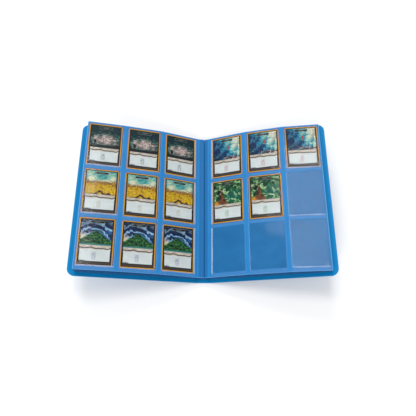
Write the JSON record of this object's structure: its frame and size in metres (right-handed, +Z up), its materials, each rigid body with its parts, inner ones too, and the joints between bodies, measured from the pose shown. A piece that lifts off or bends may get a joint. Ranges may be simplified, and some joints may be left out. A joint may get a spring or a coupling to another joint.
{
  "type": "trading card binder",
  "caption": "Open side-loading card album with a thin hinged cover, a stack of fixed pocket pages on each side, and cards in the clear pockets of the pages on show.",
  "frame": {"origin": "centre of the spine panel's underside, on the surface that the open album lies on", "axes": "+X across the open album towards the back cover, +Y along the spine towards the head of the pages, +Z up"},
  "size_m": [0.4798, 0.306, 0.0868],
  "materials": {
    "cover_sheet": "satin, finely grained",
    "page_sheet": "satin",
    "pocket_film": "clear and glossy",
    "card": "printed and varnished"
  },
  "bodies": {
    "root": {"spine_panel": "cover_sheet", "binding_strip": "page_sheet"},
    "front_cover": {"front_cover": "cover_sheet"},
    "back_cover": {"back_cover": "cover_sheet"},
    "page_01": {"page_01": "page_sheet"},
    "page_02": {"page_02": "page_sheet"},
    "page_03": {"page_03": "page_sheet"},
    "page_04": {"page_04": "page_sheet"},
    "page_05": {"page_05": "page_sheet"},
    "page_06": {"page_06": "page_sheet"},
    "page_07": {"page_07": "page_sheet"},
    "page_08": {"page_08": "page_sheet"},
    "page_09": {"page_09": "page_sheet"},
    "page_10": {"page_10": "page_sheet"},
    "page_11": {"page_11": "page_sheet"},
    "page_12": {"page_12": "page_sheet"},
    "page_20": {"page_20": "page_sheet"},
    "page_19": {"page_19": "page_sheet"},
    "page_18": {"page_18": "page_sheet"},
    "page_17": {"page_17": "page_sheet"},
    "page_16": {"page_16": "page_sheet"},
    "page_15": {"page_15": "page_sheet"},
    "page_13_margin": {"page_13_margin": "page_sheet"},
    "page_13_inner": {"page_13_inner": "page_sheet", "page_13_inner_pockets": "pocket_film"},
    "page_13_middle": {"page_13_middle": "page_sheet", "page_13_middle_pockets": "pocket_film"},
    "page_13_outer": {"page_13_outer": "page_sheet", "page_13_outer_pockets": "pocket_film"},
    "page_14_inner": {"page_14_margin": "page_sheet", "page_14_inner": "page_sheet", "page_14_inner_pockets": "pocket_film"},
    "page_14_middle": {"page_14_middle": "page_sheet", "page_14_middle_pockets": "pocket_film"},
    "page_14_outer": {"page_14_outer": "page_sheet", "page_14_outer_pockets": "pocket_film"},
    "left_card_top_inner": {"left_card_top_inner": "card"},
    "left_card_top_middle": {"left_card_top_middle": "card"},
    "left_card_top_outer": {"left_card_top_outer": "card"},
    "left_card_centre_inner": {"left_card_centre_inner": "card"},
    "left_card_centre_middle": {"left_card_centre_middle": "card"},
    "left_card_centre_outer": {"left_card_centre_outer": "card"},
    "left_card_bottom_inner": {"left_card_bottom_inner": "card"},
    "left_card_bottom_middle": {"left_card_bottom_middle": "card"},
    "left_card_bottom_outer": {"left_card_bottom_outer": "card"},
    "right_card_top_inner": {"right_card_top_inner": "card"},
    "right_card_top_middle": {"right_card_top_middle": "card"},
    "right_card_top_outer": {"right_card_top_outer": "card"},
    "right_card_centre_inner": {"right_card_centre_inner": "card"},
    "right_card_centre_middle": {"right_card_centre_middle": "card"}
  },
  "joints": [
    {"name": "front_cover_hinge", "type": "hinge", "parent": "root", "child": "front_cover", "pos_m": [-0.013, 0, 0.0006], "axis": [0, -1, 0], "range_deg": [-73.9, 16.1]},
    {"name": "back_cover_hinge", "type": "hinge", "parent": "root", "child": "back_cover", "pos_m": [0.013, 0, 0.0006], "axis": [0, 1, 0], "range_deg": [-73.9, 16.1]},
    {"name": "page_01_hinge", "type": "hinge", "parent": "root", "child": "page_01", "pos_m": [-0.00713, 0, 0.0074], "axis": [0, -1, 0], "range_deg": [-74.04, 16.17]},
    {"name": "page_02_hinge", "type": "hinge", "parent": "root", "child": "page_02", "pos_m": [-0.00724, 0, 0.00719], "axis": [0, -1, 0], "range_deg": [-73.84, 16.13]},
    {"name": "page_03_hinge", "type": "hinge", "parent": "root", "child": "page_03", "pos_m": [-0.00735, 0, 0.00698], "axis": [0, -1, 0], "range_deg": [-73.65, 16.09]},
    {"name": "page_04_hinge", "type": "hinge", "parent": "root", "child": "page_04", "pos_m": [-0.00747, 0, 0.00676], "axis": [0, -1, 0], "range_deg": [-73.46, 16.04]},
    {"name": "page_05_hinge", "type": "hinge", "parent": "root", "child": "page_05", "pos_m": [-0.0076, 0, 0.00653], "axis": [0, -1, 0], "range_deg": [-73.27, 16]},
    {"name": "page_06_hinge", "type": "hinge", "parent": "root", "child": "page_06", "pos_m": [-0.00773, 0, 0.0063], "axis": [0, -1, 0], "range_deg": [-73.07, 15.96]},
    {"name": "page_07_hinge", "type": "hinge", "parent": "root", "child": "page_07", "pos_m": [-0.00787, 0, 0.00606], "axis": [0, -1, 0], "range_deg": [-72.88, 15.92]},
    {"name": "page_08_hinge", "type": "hinge", "parent": "root", "child": "page_08", "pos_m": [-0.00801, 0, 0.00581], "axis": [0, -1, 0], "range_deg": [-72.68, 15.87]},
    {"name": "page_09_hinge", "type": "hinge", "parent": "root", "child": "page_09", "pos_m": [-0.00816, 0, 0.00556], "axis": [0, -1, 0], "range_deg": [-72.49, 15.83]},
    {"name": "page_10_hinge", "type": "hinge", "parent": "root", "child": "page_10", "pos_m": [-0.00831, 0, 0.0053], "axis": [0, -1, 0], "range_deg": [-72.3, 15.79]},
    {"name": "page_11_hinge", "type": "hinge", "parent": "root", "child": "page_11", "pos_m": [-0.00847, 0, 0.00503], "axis": [0, -1, 0], "range_deg": [-72.1, 15.75]},
    {"name": "page_12_hinge", "type": "hinge", "parent": "root", "child": "page_12", "pos_m": [-0.00864, 0, 0.00476], "axis": [0, -1, 0], "range_deg": [-71.91, 15.71]},
    {"name": "page_20_hinge", "type": "hinge", "parent": "root", "child": "page_20", "pos_m": [0.00859, 0, 0.00661], "axis": [0, 1, 0], "range_deg": [-74.13, 16.19]},
    {"name": "page_19_hinge", "type": "hinge", "parent": "root", "child": "page_19", "pos_m": [0.00909, 0, 0.00706], "axis": [0, 1, 0], "range_deg": [-74.26, 16.22]},
    {"name": "page_18_hinge", "type": "hinge", "parent": "root", "child": "page_18", "pos_m": [0.00958, 0, 0.00751], "axis": [0, 1, 0], "range_deg": [-74.4, 16.25]},
    {"name": "page_17_hinge", "type": "hinge", "parent": "root", "child": "page_17", "pos_m": [0.01007, 0, 0.00797], "axis": [0, 1, 0], "range_deg": [-74.54, 16.28]},
    {"name": "page_16_hinge", "type": "hinge", "parent": "root", "child": "page_16", "pos_m": [0.01056, 0, 0.00843], "axis": [0, 1, 0], "range_deg": [-74.68, 16.31]},
    {"name": "page_15_hinge", "type": "hinge", "parent": "root", "child": "page_15", "pos_m": [0.01104, 0, 0.00888], "axis": [0, 1, 0], "range_deg": [-74.82, 16.34]},
    {"name": "page_13_root_hinge", "type": "hinge", "parent": "root", "child": "page_13_margin", "pos_m": [-0.00984, 0, 0.00331], "axis": [0, -1, 0], "range_deg": [-66.15, 14.45]},
    {"name": "page_turn", "type": "hinge", "parent": "page_13_margin", "child": "page_13_inner", "pos_m": [-0.01455, 0, 0.0166], "axis": [0, 1, 0], "range_deg": [0, 138]},
    {"name": "page_13_middle_seam", "type": "hinge", "parent": "page_13_inner", "child": "page_13_middle", "pos_m": [-0.08143, 0, 0.04624], "axis": [0, -1, 0], "range_deg": [-6.95, 1.55]},
    {"name": "page_13_outer_seam", "type": "hinge", "parent": "page_13_middle", "child": "page_13_outer", "pos_m": [-0.15344, 0, 0.06825], "axis": [0, -1, 0], "range_deg": [-2.75, 0.64]},
    {"name": "page_14_root_hinge", "type": "hinge", "parent": "root", "child": "page_14_inner", "pos_m": [0.01289, 0, 0.0081], "axis": [0, 1, 0], "range_deg": [-68.05, 14.87]},
    {"name": "page_14_middle_seam", "type": "hinge", "parent": "page_14_inner", "child": "page_14_middle", "pos_m": [0.08252, 0, 0.0441], "axis": [0, 1, 0], "range_deg": [-6.05, 1.36]},
    {"name": "page_14_outer_seam", "type": "hinge", "parent": "page_14_middle", "child": "page_14_outer", "pos_m": [0.15491, 0, 0.06486], "axis": [0, 1, 0], "range_deg": [-8.55, 1.9]},
    {"name": "left_card_top_inner_slide", "type": "slide", "parent": "page_13_inner", "child": "left_card_top_inner", "axis": [-0.9198, 0, 0.3923], "range_m": [-0.012, 0]},
    {"name": "left_card_top_middle_slide", "type": "slide", "parent": "page_13_middle", "child": "left_card_top_middle", "axis": [0.9603, 0, -0.279], "range_m": [0, 0.068]},
    {"name": "left_card_top_outer_slide", "type": "slide", "parent": "page_13_outer", "child": "left_card_top_outer", "axis": [0.9724, 0, -0.2334], "range_m": [0, 0.068]},
    {"name": "left_card_centre_inner_slide", "type": "slide", "parent": "page_13_inner", "child": "left_card_centre_inner", "axis": [-0.9198, 0, 0.3923], "range_m": [-0.012, 0]},
    {"name": "left_card_centre_middle_slide", "type": "slide", "parent": "page_13_middle", "child": "left_card_centre_middle", "axis": [0.9603, 0, -0.279], "range_m": [0, 0.068]},
    {"name": "left_card_centre_outer_slide", "type": "slide", "parent": "page_13_outer", "child": "left_card_centre_outer", "axis": [0.9724, 0, -0.2334], "range_m": [0, 0.068]},
    {"name": "left_card_bottom_inner_slide", "type": "slide", "parent": "page_13_inner", "child": "left_card_bottom_inner", "axis": [-0.9198, 0, 0.3923], "range_m": [-0.012, 0]},
    {"name": "left_card_bottom_middle_slide", "type": "slide", "parent": "page_13_middle", "child": "left_card_bottom_middle", "axis": [0.9603, 0, -0.279], "range_m": [0, 0.068]},
    {"name": "left_card_bottom_outer_slide", "type": "slide", "parent": "page_13_outer", "child": "left_card_bottom_outer", "axis": [0.9724, 0, -0.2334], "range_m": [0, 0.068]},
    {"name": "right_card_top_inner_slide", "type": "slide", "parent": "page_14_inner", "child": "right_card_top_inner", "axis": [0.9323, 0, 0.3616], "range_m": [-0.012, 0]},
    {"name": "right_card_top_middle_slide", "type": "slide", "parent": "page_14_middle", "child": "right_card_top_middle", "axis": [-0.965, 0, -0.2622], "range_m": [0, 0.068]},
    {"name": "right_card_top_outer_slide", "type": "slide", "parent": "page_14_outer", "child": "right_card_top_outer", "axis": [-0.9932, 0, -0.1167], "range_m": [0, 0.068]},
    {"name": "right_card_centre_inner_slide", "type": "slide", "parent": "page_14_inner", "child": "right_card_centre_inner", "axis": [0.9323, 0, 0.3616], "range_m": [-0.012, 0]},
    {"name": "right_card_centre_middle_slide", "type": "slide", "parent": "page_14_middle", "child": "right_card_centre_middle", "axis": [-0.965, 0, -0.2622], "range_m": [0, 0.068]}
  ],
  "couplings": [
    {"joint": "page_01_hinge", "follows": "front_cover_hinge", "ratio": 1.0012},
    {"joint": "page_02_hinge", "follows": "front_cover_hinge", "ratio": 0.99856},
    {"joint": "page_03_hinge", "follows": "front_cover_hinge", "ratio": 0.99595},
    {"joint": "page_04_hinge", "follows": "front_cover_hinge", "ratio": 0.99334},
    {"joint": "page_05_hinge", "follows": "front_cover_hinge", "ratio": 0.99073},
    {"joint": "page_06_hinge", "follows": "front_cover_hinge", "ratio": 0.98811},
    {"joint": "page_07_hinge", "follows": "front_cover_hinge", "ratio": 0.98549},
    {"joint": "page_08_hinge", "follows": "front_cover_hinge", "ratio": 0.98287},
    {"joint": "page_09_hinge", "follows": "front_cover_hinge", "ratio": 0.98025},
    {"joint": "page_10_hinge", "follows": "front_cover_hinge", "ratio": 0.97762},
    {"joint": "page_11_hinge", "follows": "front_cover_hinge", "ratio": 0.97499},
    {"joint": "page_12_hinge", "follows": "front_cover_hinge", "ratio": 0.97235},
    {"joint": "page_20_hinge", "follows": "back_cover_hinge", "ratio": 1.0024},
    {"joint": "page_19_hinge", "follows": "back_cover_hinge", "ratio": 1.0043},
    {"joint": "page_18_hinge", "follows": "back_cover_hinge", "ratio": 1.0061},
    {"joint": "page_17_hinge", "follows": "back_cover_hinge", "ratio": 1.008},
    {"joint": "page_16_hinge", "follows": "back_cover_hinge", "ratio": 1.0099},
    {"joint": "page_15_hinge", "follows": "back_cover_hinge", "ratio": 1.0117},
    {"joint": "page_13_root_hinge", "follows": "front_cover_hinge", "ratio": 0.89445},
    {"joint": "page_13_middle_seam", "follows": "front_cover_hinge", "ratio": 0.093369},
    {"joint": "page_13_outer_seam", "follows": "front_cover_hinge", "ratio": 0.036536},
    {"joint": "page_14_root_hinge", "follows": "back_cover_hinge", "ratio": 0.92016},
    {"joint": "page_14_middle_seam", "follows": "back_cover_hinge", "ratio": 0.081191},
    {"joint": "page_14_outer_seam", "follows": "back_cover_hinge", "ratio": 0.11502}
  ]
}
